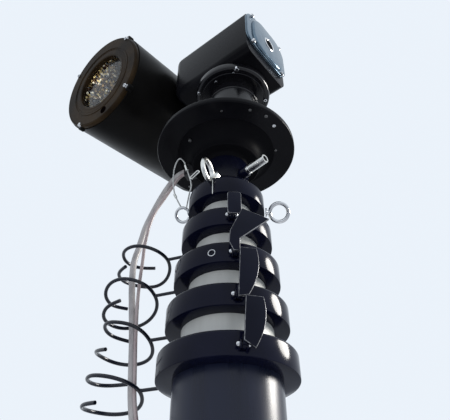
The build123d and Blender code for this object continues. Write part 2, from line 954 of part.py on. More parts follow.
save("tilt_housing", tilt_housing())
save("housing_cap", housing_cap())
save("lamp_body", lamp_body())
save("lamp_bezel", lamp_bezel())
save("lamp_glass", lamp_glass())
save("lamp_reflector", lamp_reflector())
save("lamp_rear_cover", lamp_rear_cover())
save("tilt_spindle", tilt_spindle())
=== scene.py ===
import random
from math import cos, pi, radians, sin, sqrt, tau

import bmesh
import bpy
from mathutils import Matrix, Vector


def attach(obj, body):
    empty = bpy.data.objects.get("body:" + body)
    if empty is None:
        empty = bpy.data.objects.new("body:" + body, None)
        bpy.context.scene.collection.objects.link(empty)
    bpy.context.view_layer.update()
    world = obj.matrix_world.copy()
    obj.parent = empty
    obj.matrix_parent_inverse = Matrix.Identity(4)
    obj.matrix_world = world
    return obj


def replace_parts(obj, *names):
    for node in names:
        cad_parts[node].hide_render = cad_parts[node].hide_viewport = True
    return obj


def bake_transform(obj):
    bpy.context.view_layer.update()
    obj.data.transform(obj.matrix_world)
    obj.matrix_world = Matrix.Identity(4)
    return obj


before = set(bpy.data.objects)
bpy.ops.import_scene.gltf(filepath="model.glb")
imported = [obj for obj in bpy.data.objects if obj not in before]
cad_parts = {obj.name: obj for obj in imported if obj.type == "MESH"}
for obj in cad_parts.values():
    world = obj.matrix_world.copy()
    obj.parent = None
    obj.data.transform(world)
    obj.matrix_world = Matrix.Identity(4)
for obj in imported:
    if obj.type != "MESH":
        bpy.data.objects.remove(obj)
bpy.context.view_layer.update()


# The base plate is a thick turned aluminium disc with a boss welded round the lowest tube.
# Eight gusset ribs brace the boss, and eight plain holes take the anchor bolts.
# It keeps its shape from the CAD frame, under one gloss black powder coat.
def feed(tree, node, **inputs):
    """Sets each named input of a shader node to a value, or links another node's output to it."""
    for name, value in inputs.items():
        socket = node.inputs[name.replace("_", " ")]
        if isinstance(value, bpy.types.NodeSocket):
            tree.links.new(value, socket)
        else:
            socket.default_value = value


def add_node(tree, kind, **inputs):
    """New shader node of a kind, with its inputs fed."""
    node = tree.nodes.new("ShaderNode" + kind)
    feed(tree, node, **inputs)
    return node


def start_finish(name):
    """New material with its tree, its shader and its object coordinates at hand."""
    finish = bpy.data.materials.new(name)
    finish.use_nodes = True
    tree = finish.node_tree
    return finish, tree, tree.nodes["Principled BSDF"], add_node(tree, "TexCoord").outputs["Object"]


def grain(tree, where, scale, detail, rough=0.55, stretch=None):
    """Noise in object coordinates, drawn out along the mast where the stretch says so."""
    if stretch:
        where = add_node(tree, "Mapping", Vector=where, Scale=stretch).outputs["Vector"]
    node = add_node(tree, "TexNoise", Vector=where, Scale=scale, Detail=detail, Roughness=rough)
    return node.outputs["Fac"]


def spread(tree, value, low, high, start=0.35, end=0.65):
    """Rescales a noise value to a working range."""
    node = add_node(tree, "MapRange", Value=value, From_Min=start, From_Max=end, To_Min=low, To_Max=high)
    return node.outputs["Result"]


def two_tone(tree, value, first, second, start=0.35, end=0.65):
    """Blends two colours by a noise value."""
    node = add_node(tree, "ValToRGB", Fac=value)
    for k, (position, colour) in enumerate(((start, first), (end, second))):
        node.color_ramp.elements[k].position = position
        node.color_ramp.elements[k].color = (*colour, 1)
    return node.outputs["Color"]


def relief(tree, shader, value, depth, strength=1.0):
    """Raises the surface by a noise value, in metres."""
    node = add_node(tree, "Bump", Height=value, Distance=depth, Strength=strength)
    feed(tree, shader, Normal=node.outputs["Normal"])


def layered(name, deep, light, clouds, gloss, ramp=(0.35, 0.65), specks=None, fine=None, **fixed):
    """Finish whose colour and gloss follow one noise, with specks of a stain and a fine relief.

    Clouds are the noise, as grain takes it. Specks are a noise, its share and range, and a colour.
    Fine is a noise and its depth in metres. What else is given is fixed on the shader.
    """
    finish, tree, shader, where = start_finish(name)
    cloud = grain(tree, where, *clouds)
    colour = two_tone(tree, cloud, deep, light, *ramp)
    if specks:
        spots, share, stain = specks
        mix = tree.nodes.new("ShaderNodeMix")
        mix.data_type = "RGBA"
        feed(tree, mix, Factor=spread(tree, grain(tree, where, *spots), 0.0, *share), A=colour, B=(*stain, 1))
        colour = mix.outputs["Result"]
    feed(tree, shader, Base_Color=colour, Roughness=spread(tree, cloud, *gloss), **fixed)
    if fine:
        relief(tree, shader, grain(tree, where, *fine[0]), fine[1])
    return finish


def black_coat(name, deep, light, gloss, peel, dust=0.15, shine=0.25):
    """Sprayed black coat: uneven depth, orange peel and faint dust."""
    return layered(name, deep, light, (7.0, 5.0), gloss, Specular_IOR_Level=shine,
                   specks=((900.0, 3.0, 0.7), (dust, 0.6, 0.8), (0.05, 0.047, 0.042)),
                   fine=((peel, 2.0), 0.00006))


def refinish(name, finish):
    """Gives a piece of the CAD frame its finish, and leaves its mesh as it is."""
    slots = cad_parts[name].data.materials
    slots.clear()
    slots.append(finish)


base_coat = black_coat("base_coat", (0.003, 0.0035, 0.008), (0.006, 0.007, 0.013), (0.12, 0.22), 420.0)
refinish("base_plate", base_coat)


# The lowest tube is a stock aluminium tube, two metres tall, in the same gloss black as the base.
# Faint drawing lines run along it, with rain marks scattered over it.
tube_diameters = [171.45 - 19.05 * k for k in range(6)]
tube_wall = 4.8
plate_top = 20.0
collar_levels = [1870.0 + 82.0 * k for k in range(5)]
tube_in_collar = 28.0


def drawn_coat(name, deep, light, gloss, shine, streak):
    """Coat over a drawn tube: long faint lines, streaks down the tube and scattered marks."""
    return layered(name, deep, light, (26.0, 5.0, 0.55, (1.0, 1.0, 0.12)), gloss, Specular_IOR_Level=shine,
                   specks=((240.0, 4.0, 0.7), (0.4, 0.62, 0.78), streak),
                   fine=((520.0, 3.0, 0.55, (1.0, 1.0, 0.004)), 0.00003))


def added(bm, known):
    """Points that a bmesh has gained since the known ones."""
    return [v for v in bm.verts if v not in known]


def add_lathe(bm, outline, steps=96, to=Matrix.Identity(4)):
    """Turned shell from (radius, height) points, in millimetres, moved by a matrix."""
    known = set(bm.verts)
    points = [bm.verts.new((radius, 0, height)) for radius, height in outline]
    edges = [bm.edges.new((a, b)) for a, b in zip(points, points[1:])]
    if outline[0][0] > 0 and outline[-1][0] > 0:
        edges.append(bm.edges.new((points[-1], points[0])))
    bmesh.ops.spin(bm, geom=points + edges, cent=(0, 0, 0), axis=(0, 0, 1), angle=tau, steps=steps,
                   use_merge=True)
    bmesh.ops.remove_doubles(bm, verts=added(bm, known), dist=0.0005)
    bmesh.ops.transform(bm, matrix=to, verts=added(bm, known))


def linked(name, data):
    """New object in the scene that holds a mesh, a curve, a light or a camera."""
    made = bpy.data.objects.new(name, data)
    bpy.context.scene.collection.objects.link(made)
    return made


def dress_mesh(mesh, finish, crease):
    """Gives a mesh its finish, and smooth shading between its edges."""
    mesh.materials.append(finish)
    mesh.shade_smooth()
    mesh.set_sharp_from_angle(angle=radians(crease))


def piece(bm, name, body, finish, crease=35.0):
    """Turns a bmesh in millimetres into a piece that rides on a body."""
    bmesh.ops.recalc_face_normals(bm, faces=bm.faces)
    bmesh.ops.scale(bm, vec=(0.001, 0.001, 0.001), verts=bm.verts)
    mesh = bpy.data.meshes.new(name)
    bm.to_mesh(mesh)
    bm.free()
    dress_mesh(mesh, finish, crease)
    shown = linked(name, mesh)
    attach(shown, body)
    return shown


def turned(name, body, finish, outline, steps, to=Matrix.Identity(4), crease=35.0):
    """Piece turned from one outline on the lathe."""
    shell = bmesh.new()
    add_lathe(shell, outline, steps, to)
    return piece(shell, name, body, finish, crease)


# The navy tint in the tube's black is a painted reflection of blue sky.
base_tube_coat = drawn_coat("base_tube_coat", (0.003, 0.005, 0.016), (0.006, 0.009, 0.026), (0.22, 0.34),
                            0.35, (0.012, 0.013, 0.018))
outer = tube_diameters[0] / 2
inner = outer - tube_wall
tube_end = collar_levels[0] + tube_in_collar
outline = [(inner, plate_top), (outer, plate_top), (outer, tube_end), (inner, tube_end)]
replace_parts(turned("lowest_tube", "base", base_tube_coat, outline, 160), "base_tube")


# Five more tubes nest inside, each one stock size smaller, in a pale bare finish.
# Each has a floor with a lip at its foot and two guide rings that slide in the next tube out.
bodies = ["base", "section_2", "section_3", "section_4", "section_5", "top_section"]
platform_low = 2365.0
floor_lip = 12.0
floor_thick = 10.0
rest_gap = 0.3
running_gap = 0.4
slide_length = 1450.0
pale_tube = drawn_coat("pale_tube", (0.52, 0.53, 0.5), (0.62, 0.63, 0.6), (0.3, 0.45), 0.5,
                       (0.42, 0.41, 0.38))
for n in range(2, 7):
    outer = tube_diameters[n - 1] / 2
    inner = outer - tube_wall
    ring = tube_diameters[n - 2] / 2 - tube_wall - running_gap
    low = plate_top + rest_gap + (n - 2) * (floor_thick + rest_gap)
    high = collar_levels[n - 1] + tube_in_collar if n < 6 else platform_low
    stop = collar_levels[n - 2] + tube_in_collar - slide_length - rest_gap
    lip = inner - floor_lip
    outline = [(lip, low), (ring - 1, low), (ring, low + 1), (ring, low + 29), (outer, low + 30),
               (outer, stop - 30), (ring, stop - 29), (ring, stop - 1), (outer, stop), (outer, high),
               (inner, high), (inner, low + floor_thick), (lip, low + floor_thick)]
    tube = turned(f"inner_tube_{n}", bodies[n - 1], pale_tube, outline, 144)
    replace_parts(tube, f"tube_{n}")


# Each tube but the last is crowned by a turned aluminium collar with a hard black anodised skin.
# Turning marks run round it, its upper shoulder is rounded, and its bore guides the next tube.
# Two ears are milled on the face for the latch lever's pin, all but on the top collar.
collar_height = 40.0
collar_shoulder = 6.0
ear_across = 4.85
lever_azimuths = (-79.5, -81.5, -82.0, -84.5)


def shift(x, y, z):
    return Matrix.Translation((x, y, z))


def collar_radius(n):
    """Outer radius of collar n, which stands out from its tube by 26 mm."""
    return tube_diameters[n - 1] / 2 + 26.0


def facing(azimuth, reach, height):
    """Frame on an upright round face at an azimuth: X round the mast, Y up, Z outward."""
    out = Vector((cos(radians(azimuth)), sin(radians(azimuth)), 0))
    turn = Matrix(((-out.y, 0, out.x), (out.x, 0, out.y), (0, 1, 0))).to_4x4()
    return shift(reach * out.x, reach * out.y, height) @ turn


def lever_frame(n):
    """Frame at lever n's pin, clear of its collar's face."""
    return facing(lever_azimuths[n - 1], collar_radius(n) + 9.0, collar_levels[n - 1] + 13.0)


def arc(centre_r, centre_z, radius, start, end, count=6):
    """Points on a rounded corner of an outline."""
    turns = [radians(start + (end - start) * k / count) for k in range(count + 1)]
    return [(centre_r + radius * cos(t), centre_z + radius * sin(t)) for t in turns]


def add_block(bm, size, to, edge):
    """Box with rounded edges, in millimetres, moved by a matrix."""
    made = bmesh.ops.create_cube(bm, size=1.0)["verts"]
    bmesh.ops.scale(bm, vec=size, verts=made)
    bmesh.ops.transform(bm, matrix=to, verts=made)
    around = list({e for v in made for e in v.link_edges})
    bmesh.ops.bevel(bm, geom=around, offset=edge, offset_type="OFFSET", segments=2, profile=0.5,
                    affect="EDGES", material=-1)


def anodised(name, deep, light, gloss, shine):
    """Black anodising over turned aluminium: fine rings round the mast, cloudy depth and dry dust."""
    return layered(name, deep, light, (12.0, 5.0), gloss, Specular_IOR_Level=shine,
                   specks=((800.0, 2.0, 0.7), (0.2, 0.62, 0.8), (0.05, 0.046, 0.042)),
                   fine=((1400.0, 2.0, 0.55, (0.02, 0.02, 1.0)), 0.00002))


# The navy tint in the collars' black is a painted reflection of blue sky.
collar_skin = anodised("collar_skin", (0.002, 0.0028, 0.011), (0.0045, 0.0055, 0.018), (0.09, 0.17), 0.14)
across = Matrix.Rotation(radians(90), 4, "Y")
for n in range(1, 6):
    low = collar_levels[n - 1]
    outer = collar_radius(n)
    bore = tube_diameters[n] / 2 + running_gap
    seat = tube_diameters[n - 1] / 2
    outline = [(seat, low), (seat + 2, low), (outer - 1.2, low), (outer - 0.4, low + 0.4), (outer, low + 1.2)]
    high = low + collar_height
    outline += arc(outer - collar_shoulder, high - collar_shoulder, collar_shoulder, 0, 90, 7)
    ledge = low + tube_in_collar
    outline += [(bore + 1.0, high), (bore, high - 1), (bore, ledge), (seat, ledge)]
    collar = bmesh.new()
    add_lathe(collar, outline, 192)
    for side in (-1, 1) if n < 5 else ():
        place = lever_frame(n) @ shift(side * ear_across, 0, 0)
        add_block(collar, (2.5, 14, 18), place @ shift(0, 0, -9), 0.5)
        add_lathe(collar, [(0, -1.25), (6.5, -1.25), (7, -0.8), (7, 0.8), (6.5, 1.25), (0, 1.25)], 40,
                  place @ across)
    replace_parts(piece(collar, f"turned_collar_{n}", bodies[n - 1], collar_skin),
                f"collar_{n}")


# A socket set screw sits in the face of the third collar, flush in a thin plated ring.
# It is blackened steel with a six-sided socket.
def add_hexagon(bm, radius, height, to):
    """Six-sided block, with its middle at a matrix."""
    made = bmesh.ops.create_cone(bm, cap_ends=True, segments=6, radius1=radius, radius2=radius, depth=height)
    bmesh.ops.transform(bm, matrix=to, verts=made["verts"])


def add_socket_screw(bm, radius, height, to, socket=0.5, depth=0.6):
    """Socket head cap screw: a head with a rounded rim and a six-sided socket."""
    known = set(bm.verts)
    key = radius * socket
    hole = key * 1.05
    rim = 0.16 * radius
    bottom = height * (1 - depth)
    add_lathe(bm, [(hole, bottom), (hole, height), (radius - rim, height), (radius, height - rim),
                   (radius, 0), (hole, 0)], 28)
    add_hexagon(bm, key * 1.2, bottom, shift(0, 0, bottom / 2))
    bmesh.ops.transform(bm, matrix=to, verts=added(bm, known))


def screws(name, body, finish, heads):
    """Piece that holds a group of socket screws, each given as add_socket_screw takes it."""
    group = bmesh.new()
    for head in heads:
        add_socket_screw(group, *head)
    return piece(group, name, body, finish)


def bright_metal(name, tint, shade, gloss, marks=900.0):
    """Plated or polished metal with finger smears and hairline marks."""
    return layered(name, shade, tint, (45.0, 4.0), gloss, (0.3, 0.7), Metallic=1.0,
                   fine=((marks, 2.0, 0.55, (1.0, 1.0, 0.06)), 0.00003))


bright_plate = bright_metal("bright_plate", (0.82, 0.83, 0.84), (0.55, 0.56, 0.58), (0.07, 0.2))
set_screw_place = facing(-105.5, 92.0, 2052.5)
screws("collar_set_screw", "section_3", collar_skin,
       [(5.0, 1.6, set_screw_place, 0.48, 0.8)])
turned("set_screw_seat", "section_3", bright_plate,
       [(5.1, -0.6), (6.5, -0.6), (6.5, 0.7), (6.2, 1.0), (5.4, 1.0), (5.1, 0.7)], 40,
       set_screw_place @ shift(0, 0, 0.2))


# Each latch lever turns on a plated pin with a round head at each end.
# The pins and the balls that show beside the levers are polished.
for n in range(1, 5):
    pin = bmesh.new()
    place = lever_frame(n)
    add_lathe(pin, [(0, -6.3), (3, -6.3), (3, 6.3), (0, 6.3)], 28, place @ across)
    for side in (-1, 1):
        add_lathe(pin, [(0, 6.15)] + arc(0, 7.1, 4.0, -13, 90, 12), 36,
                  place @ Matrix.Rotation(radians(90 * side), 4, "Y"))
    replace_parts(piece(pin, f"lever_ball_pin_{n}", bodies[n - 1], bright_plate),
                f"lever_pin_{n}")


# The latch levers are cut from thick aluminium bar, with broken edges and satin black anodising.
# The lower two are tall blades with a bellied side, the third ends in a pointed paddle,
# and the top one is a short rounded plate. Their edges are grey, partly wear and partly painted highlight.
lever_skin = black_coat("lever_skin", (0.003, 0.004, 0.012), (0.006, 0.0075, 0.018), (0.16, 0.28), 620.0, 0.1,
                        0.12)
# Grey metal on the rounded edges: partly wear, partly a painted highlight where the bevels catch the light.
worn_edge_and_highlight = layered("worn_edge_and_highlight", (0.02, 0.02, 0.026), (0.3, 0.3, 0.31), (160.0, 4.0, 0.65), (0.45, 0.25),
                      (0.3, 0.6), fine=((1500.0, 2.0), 0.00003), Metallic=0.7)
tall_blades = {1: (69.5, -10.0, 1.0), 2: (76.5, -6.5, -9.7)}
blade_foot = 9.0
blade_thick = 4.0


def soften(bm, edge, segments=2, sharper=30.0):
    """Rounds every edge that is sharper than the given angle, and gives back the rounding's faces."""
    bm.normal_update()
    sharp = [e for e in bm.edges if len(e.link_faces) == 2 and e.calc_face_angle(0) > radians(sharper)]
    return bmesh.ops.bevel(bm, geom=sharp, offset=edge, offset_type="OFFSET", segments=segments, profile=0.5,
                           affect="EDGES", material=-1, clamp_overlap=True)["faces"]


def blade_corners(n):
    """Corner points of a lever's blade, across and up from its pin."""
    if n == 3:
        return [(-5, -6), (-12.5, 10.2), (-10.6, 32.1), (10.4, 80.4), (56.2, 61.5), (5.7, 17.7), (5.2, -6)]
    if n == 4:
        rounded = ((-3.3, 36.5, 180), (10.7, 36.5, 90), (10.7, -1, 0), (-3.3, -1, -90))
        return [point for x, y, start in rounded for point in arc(x, y, 5, start, start - 90, 5)]
    top, toe, heel = tall_blades[n]
    points = [(-2, heel), (2.5, top), (28.5, top - 1)]
    for k in range(1, 16):
        share = k / 16
        belly = 8.2 * (1 - (2 * share - 1) ** 2)
        points.append((28.5 - 14.5 * share + belly, (top - 1) * (1 - share) + toe * share))
    return points + [(14, toe)]


for n in range(1, 5):
    lever = bmesh.new()
    face = lever.faces.new([lever.verts.new((x, y, blade_foot)) for x, y in blade_corners(n)])
    raised = bmesh.ops.extrude_face_region(lever, geom=[face])["geom"]
    raised = [v for v in raised if isinstance(v, bmesh.types.BMVert)]
    bmesh.ops.translate(lever, vec=(0, 0, blade_thick), verts=raised)
    bmesh.ops.recalc_face_normals(lever, faces=lever.faces)
    # The rounded edges get the grey metal of wear and painted highlight.
    for worn_lit_face in soften(lever, 0.8, 3, 12.0):
        worn_lit_face.material_index = 1
    add_block(lever, (6, 14, 9.3), shift(0, 3.5, 4.5), 0.5)
    add_lathe(lever, [(3.05, -3), (6.5, -3), (7, -2.5), (7, 2.5), (6.5, 3), (3.05, 3)], 40, across)
    bmesh.ops.transform(lever, matrix=lever_frame(n), verts=lever.verts)
    blade = piece(lever, f"lever_blade_{n}", f"lever_{n}", lever_skin)
    blade.data.materials.append(worn_edge_and_highlight)
    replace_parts(blade, f"latch_lever_{n}")


# Each cable guide is one length of round bar, plastic coated in gloss black.
# A straight rod screws into the collar, and a wire welded to its end winds round the leads.
# The wire's ends are cut square.
guide_azimuth = 161.0
guide_centres = (198.5, 187.0, 187.0, 166.0)
guide_rod_levels = (9.0, 12.0, 16.0, 8.0)
guide_low_radii = (47.5, 48.5, 46.5, 47.7)
guide_high_radii = (46.5, 41.0, 48.3, 44.9)
coil_routes = (
    ((-269, -28), (-240, -25), (-210, -23), (-180, -20), (-150, -18), (-120, -18), (-90, -17), (-60, -15),
     (-30, -8), (0, 0), (30, 5), (60, 10), (90, 15), (120, 20), (150, 22), (180, 24), (210, 27), (240, 31),
     (265, 33)),
    ((-261, -28), (-232, -22), (-203, -17), (-174, -14), (-145, -16), (-116, -18), (-87, -18), (-58, -15),
     (-29, -9), (0, 0), (30, 11), (60, 18), (90, 23), (120, 28), (150, 30), (180, 28), (212, 26), (245, 24)),
    ((-277, -26), (-248, -28), (-219, -33), (-190, -36), (-160, -37), (-130, -36), (-100, -31), (-72, -24),
     (-45, -15), (-22, -7), (0, 0), (27, 9), (55, 14), (82, 18), (110, 18), (138, 14), (160, 7), (186, 4),
     (208, 5), (232, 7)),
    ((-253, -30), (-228, -29), (-200, -27), (-170, -25), (-140, -22), (-110, -23), (-82, -23), (-55, -17),
     (-28, -7), (0, 0), (30, 4), (60, 9), (90, 14), (120, 16), (150, 18), (180, 16), (210, 17), (240, 19),
     (266, 19)),
)
coil_fullness = 1.026
guide_wire = 3.3
guide_coat = black_coat("guide_coat", (0.0025, 0.004, 0.010), (0.005, 0.007, 0.016), (0.14, 0.22), 60.0, 0.0,
                        0.5)


def turn_z(degrees):
    return Matrix.Rotation(radians(degrees), 4, "Z")


def route_mesh(points, radius, resolution):
    """Mesh of a smooth curve through a route's points, in millimetres, as a round bar or a bare line."""
    data = bpy.data.curves.new("route", "CURVE")
    data.dimensions = "3D"
    data.bevel_depth = radius * 0.001
    data.bevel_resolution = 6
    data.resolution_u = resolution
    data.use_fill_caps = True
    line = data.splines.new("NURBS")
    line.points.add(len(points) - 1)
    for mark, point in zip(line.points, points):
        mark.co = (point[0] * 0.001, point[1] * 0.001, point[2] * 0.001, 1)
    line.order_u = 3
    line.use_endpoint_u = True
    lane = linked("route", data)
    bpy.context.view_layer.update()
    mesh = bpy.data.meshes.new_from_object(lane.evaluated_get(bpy.context.evaluated_depsgraph_get()))
    bpy.data.objects.remove(lane)
    return mesh


def bar_mesh(name, points, radius, finish, resolution):
    """Closed mesh of a round bar or lead, with its finish."""
    mesh = route_mesh(points, radius, resolution)
    mesh.name = name
    mesh.materials.clear()
    closed = bmesh.new()
    closed.from_mesh(mesh)
    bmesh.ops.remove_doubles(closed, verts=closed.verts, dist=1e-7)
    bmesh.ops.recalc_face_normals(closed, faces=closed.faces)
    closed.to_mesh(mesh)
    closed.free()
    dress_mesh(mesh, finish, 50)
    return mesh


def smooth_line(name, points, radius, finish, body, resolution=8):
    """Round bar or rope strand along one smooth curve, as a piece that rides on a body."""
    shown = linked(name, bar_mesh(name, points, radius, finish, resolution))
    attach(shown, body)
    return shown


for n in range(1, 5):
    centre = guide_centres[n - 1]
    near, far = guide_low_radii[n - 1], guide_high_radii[n - 1]
    place = turn_z(guide_azimuth) @ shift(centre, 0, collar_levels[n - 1] + guide_rod_levels[n - 1])
    points = []
    for angle, height in coil_routes[n - 1]:
        share = min(1.0, max(0.0, (angle + 60) / 150))
        radius = (near * (1 - share) + far * share) * coil_fullness
        points.append(place @ Vector((-radius * cos(radians(angle)), radius * sin(radians(angle)), height)))
    coil = smooth_line(f"guide_wire_{n}", points, guide_wire, guide_coat, bodies[n - 1], 6)
    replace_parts(coil, f"cable_guide_{n}")
    weld = near * 0.6 + far * 0.4
    length = centre - weld - collar_radius(n)
    outline = [(0, -1.5), (2.4, -1.5), (3.7, 0), (3.3, 2.6), (3, 5), (3, length - 4), (5.2, length - 4),
               (5.6, length - 3.4), (5.6, length + 0.5), (0, length + 0.5)]
    turned(f"guide_rod_{n}", bodies[n - 1], guide_coat, outline, 28,
           place @ shift(-weld, 0, 0) @ Matrix.Rotation(radians(-90), 4, "Y"))


# Two supply leads climb beside the mast through the guides: a thick one in a grey sheath
# and a thin one in a pinkish one. Each run between two guides hangs free and slides through them,
# and the clips hold both against the lowest tube.
def sheath(name, light, shade, stain):
    """Soft extruded sheath, weathered along its length, with a fine matt skin."""
    return layered(name, shade, light, (60.0, 5.0, 0.55, (1.0, 1.0, 0.25)), (0.22, 0.38),
                   specks=((150.0, 4.0, 0.7, (1.0, 1.0, 0.5)), (0.55, 0.6, 0.75), stain),
                   fine=((900.0, 2.0), 0.00004))


thick_sheath = sheath("thick_sheath", (0.5, 0.48, 0.47), (0.36, 0.34, 0.34), (0.22, 0.2, 0.2))
thin_sheath = sheath("thin_sheath", (0.52, 0.45, 0.44), (0.38, 0.3, 0.3), (0.24, 0.16, 0.17))
lead_levels = (1855.0, 1963.0, 2045.0, 2127.0, 2166.0, 2193.0)
lead_routes = {
    "thick": (6.25, -2.5, thick_sheath, (
        (124, 38), (124, 700), (124, 1300), (124, 1640), (146, 1780), (165, 1855), (171, 1910), (176, 1963),
        (181.5, 2004), (187, 2045), (192.5, 2086), (195, 2127), (192, 2150), (187, 2166), (185, 2180),
        (182, 2193), (178, 2217), (161, 2260), (142, 2302), (112, 2348), (90, 2348))),
    "thin": (3.25, 2.5, thin_sheath, (
        (110, 38), (110, 700), (110, 1300), (110, 1640), (135, 1780), (157, 1855), (162, 1910), (167.5, 1963),
        (170.5, 2004), (173, 2045), (173.5, 2086), (172, 2127), (172, 2150), (172, 2166), (170.5, 2180),
        (169, 2193), (166.6, 2214), (156, 2251), (138, 2278), (122, 2305), (104, 2336), (90, 2336))),
}
lead_way = turn_z(guide_azimuth)
for kind, (radius, beside, finish, route) in lead_routes.items():
    points = [lead_way @ Vector((radial, beside, level)) for radial, level in route]
    whole = bar_mesh(f"{kind}_whole", points, radius, finish, 10)
    for n in range(1, 7):
        run = bmesh.new()
        run.from_mesh(whole)
        low = 0.0 if n == 1 else lead_levels[n - 1] * 0.001
        high = 9.0 if n == 6 else lead_levels[n] * 0.001
        for level, side in ((low, True), (high, False)):
            whole_run = run.verts[:] + run.edges[:] + run.faces[:]
            bmesh.ops.bisect_plane(run, geom=whole_run, plane_co=(0, 0, level), plane_no=(0, 0, 1),
                                   clear_inner=side, clear_outer=not side)
        bmesh.ops.holes_fill(run, edges=[e for e in run.edges if e.is_boundary], sides=0)
        bmesh.ops.recalc_face_normals(run, faces=run.faces)
        mesh = bpy.data.meshes.new(f"{kind}_lead_{n}")
        run.to_mesh(mesh)
        run.free()
        dress_mesh(mesh, finish, 50)
        lead = linked(f"{kind}_lead_{n}", mesh)
        if n == 6:
            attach(lead, "top_section")
        else:
            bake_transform(lead)
        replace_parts(lead, f"supply_leads_{n}")
    bpy.data.meshes.remove(whole)


# Moulded black saddles clip the leads to the lowest tube, with glands on the plate and the hub.
# They come from the CAD frame and keep their shape. Their screws and the glands' nuts are new.
# The plastic has a fine eroded grain and scuffed grey patches.
gland_moulding = layered("gland_moulding", (0.014, 0.014, 0.016), (0.045, 0.045, 0.046), (70.0, 5.0, 0.65),
                         (0.4, 0.6), (0.45, 0.75), fine=((750.0, 3.0), 0.00008))
for name in ("lead_clips", "base_glands", "hub_gland"):
    refinish(name, gland_moulding)
clip_levels = (400.0, 1000.0, 1500.0)
screws("clip_screws", "base", bright_plate,
       [(2.6, 1.6, lead_way @ shift(136.2, side * 11.5, level) @ across)
        for level in clip_levels for side in (-1, 1)])
gland_nuts = bmesh.new()
for reach, beside, radius in ((124, -2.5, 8.288), (110, 2.5, 4.928)):
    add_hexagon(gland_nuts, radius, 7, lead_way @ shift(reach, beside, 34.0))
soften(gland_nuts, 0.4)
piece(gland_nuts, "gland_nuts", "base", gland_moulding)


# Two forged eye bolts screw into the top collar, plated and bright, each with a turned shoulder.
# The right one is the larger. Their rings are turned to face down and forward.
def add_ring(bm, radius, wire, to, steps=72, sides=20):
    """Round ring about the Y axis of a matrix."""
    known = set(bm.verts)
    made = bmesh.ops.create_circle(bm, cap_ends=False, segments=sides, radius=wire)["verts"]
    bmesh.ops.translate(bm, vec=(radius, 0, 0), verts=made)
    geom = made + list({e for v in made for e in v.link_edges})
    bmesh.ops.spin(bm, geom=geom, cent=(0, 0, 0), axis=(0, 1, 0), angle=tau, steps=steps, use_merge=True)
    bmesh.ops.remove_doubles(bm, verts=added(bm, known), dist=0.0005)
    bmesh.ops.transform(bm, matrix=to, verts=added(bm, known))


def eye_place(azimuth, height, roll, radius, shank):
    """Frame at the middle of an eye's ring, with the shank's end in the top collar."""
    reach = collar_radius(5) + shank + radius - 2
    return turn_z(azimuth) @ shift(reach, 0, height) @ Matrix.Rotation(radians(roll), 4, "X")


eyes = {
    "right": (eye_place(0, 2206.0, 39, 18.0, 13.0), 18.0, 3.8, 13.0),
    "left": (eye_place(160, 2227.0, -39, 14.6, 8.0), 14.6, 3.1, 8.0),
}
for side, (place, radius, wire, shank) in eyes.items():
    eye = bmesh.new()
    add_ring(eye, radius, wire, place)
    flange = radius * 0.5
    add_lathe(eye, [(0, 2), (flange - 0.8, 2), (flange, 2.8), (flange, 4.4), (flange - 0.8, 5.2), (5.2, 5.6),
                    (4.4, 7), (4.2, shank - 2), (5.4, shank), (3.2, shank + 1), (0, shank + 1)], 40,
              place @ shift(2 - radius - shank, 0, 0) @ across)
    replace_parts(piece(eye, f"forged_eye_{side}", "section_5", bright_plate),
                f"eye_bolt_{side}")


# The neck is a turned sleeve that clamps the innermost tube. Its flange flares up under the platform.
# The sleeve has the collars' black anodising and a groove at its foot. The flare is matt black.
neck_low = 2244.0
neck_high = 2319.0
neck_bore = tube_diameters[5] / 2
flare_reach = 103.0
outline = [(neck_bore, neck_low), (45, neck_low), (46, neck_low + 1), (46, neck_low + 16),
           (45.2, neck_low + 16.8), (45.2, neck_low + 18.2), (46, neck_low + 19), (46, neck_high)]
outline += arc(54, neck_high, 8, 180, 90, 4)[1:]
outline += [(69, 2327), (70, 2328), (70, 2331)]
outline += arc(flare_reach, 2331, 33, 180, 90, 14)[1:]
outline += [(flare_reach, platform_low), (neck_bore, platform_low)]
neck = bmesh.new()
add_lathe(neck, outline, 160)
for flare in neck.faces:
    flare.material_index = 1 if flare.calc_center_median().z > neck_high - 1 else 0
# The navy tint in the sleeve's black is a painted reflection of blue sky.
neck_skin = anodised("neck_skin", (0.002, 0.0026, 0.008), (0.0045, 0.005, 0.012), (0.1, 0.18), 0.14)
flare_coat = black_coat("flare_coat", (0.003, 0.003, 0.004), (0.006, 0.006, 0.007), (0.4, 0.5), 520.0, 0.1,
                        0.02)
sleeve = piece(neck, "neck_sleeve", "top_section", neck_skin)
sleeve.data.materials.append(flare_coat)
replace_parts(sleeve, "neck_hub")


# The lock pin is a hollow plated tube that stands out of a black boss on the neck.
# A spring plunger with a hexagon body and a pull ring holds the sleeve from the other side.
lock_place = turn_z(-45) @ shift(0, 0, 2279.5) @ across
lock_plate = bright_metal("lock_plate", (0.8, 0.8, 0.78), (0.6, 0.6, 0.56), (0.2, 0.36))
boss = turned("lock_pin_boss", "top_section", collar_skin,
              [(0, 44), (10.4, 44), (11, 45), (11, 59), (10, 61), (8.4, 61), (0, 61)], 40, lock_place)
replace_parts(boss, "tube_pin")
outline = [(0, 60), (8.8, 60), (8.8, 66), (8, 66.6), (8, 68), (8.8, 68.6), (8.8, 106.2), (8.2, 107),
           (6.3, 107), (5.8, 106.4), (5.8, 84), (0, 84)]
turned("lock_pin_tube", "top_section", lock_plate, outline, 44, lock_place)
